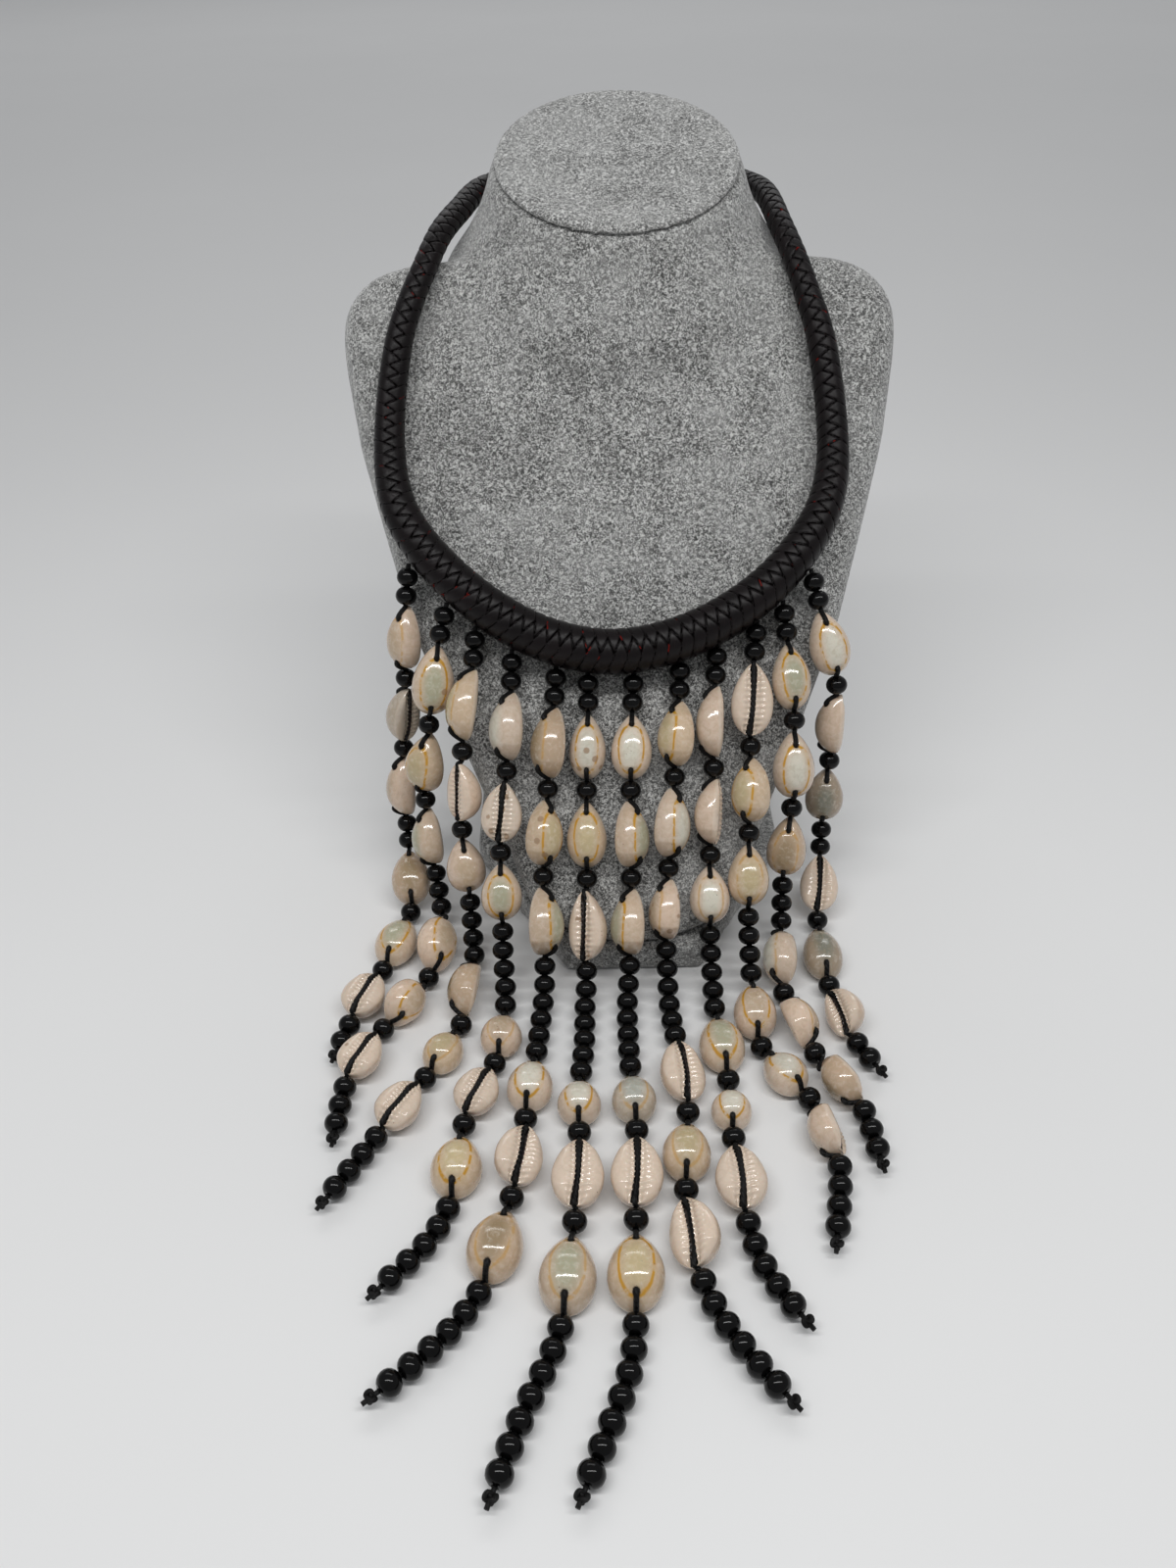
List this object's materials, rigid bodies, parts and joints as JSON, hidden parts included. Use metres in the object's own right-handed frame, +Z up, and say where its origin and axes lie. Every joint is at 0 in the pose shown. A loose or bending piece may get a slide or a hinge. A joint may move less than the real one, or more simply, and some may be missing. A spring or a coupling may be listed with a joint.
{
  "type": "cowrie shell necklace on a display bust",
  "caption": "Braided rope collar with a fringe of bead and cowrie strands, resting on a reclined velvet neck bust.",
  "frame": {"origin": "centre of the underside of the bust's base, on the table", "axes": "+Z up, +X to the right as seen from the front, the bust and the fringe face -Y"},
  "size_m": [0.2271, 0.4425, 0.2698],
  "materials": {
    "velvet": "short grey nap",
    "leather_rope": "braided, slight gloss",
    "clasp_sleeve": "satin black",
    "shell": "natural cowrie, glossy",
    "bead": "high gloss black",
    "thread": "waxed black cord"
  },
  "bodies": {
    "root": {"bust_form": "velvet", "bust_cap": "velvet", "bust_base": "velvet", "bust_prop": "velvet", "collar": "leather_rope", "clasp": "clasp_sleeve", "strand_1_shells": "shell", "strand_2_shells": "shell", "strand_3_shells": "shell", "strand_4_shells": "shell", "strand_5_shells": "shell", "strand_6_shells": "shell", "strand_7_shells": "shell", "strand_8_shells": "shell", "strand_9_shells": "shell", "strand_10_shells": "shell", "strand_11_shells": "shell", "strand_12_shells": "shell", "strand_1_beads": "bead", "strand_2_beads": "bead", "strand_3_beads": "bead", "strand_4_beads": "bead", "strand_5_beads": "bead", "strand_6_beads": "bead", "strand_7_beads": "bead", "strand_8_beads": "bead", "strand_9_beads": "bead", "strand_10_beads": "bead", "strand_11_beads": "bead", "strand_12_beads": "bead", "strand_1_thread": "thread", "strand_2_thread": "thread", "strand_3_thread": "thread", "strand_4_thread": "thread", "strand_5_thread": "thread", "strand_6_thread": "thread", "strand_7_thread": "thread", "strand_8_thread": "thread", "strand_9_thread": "thread", "strand_10_thread": "thread", "strand_11_thread": "thread", "strand_12_thread": "thread"}
  },
  "joints": []
}
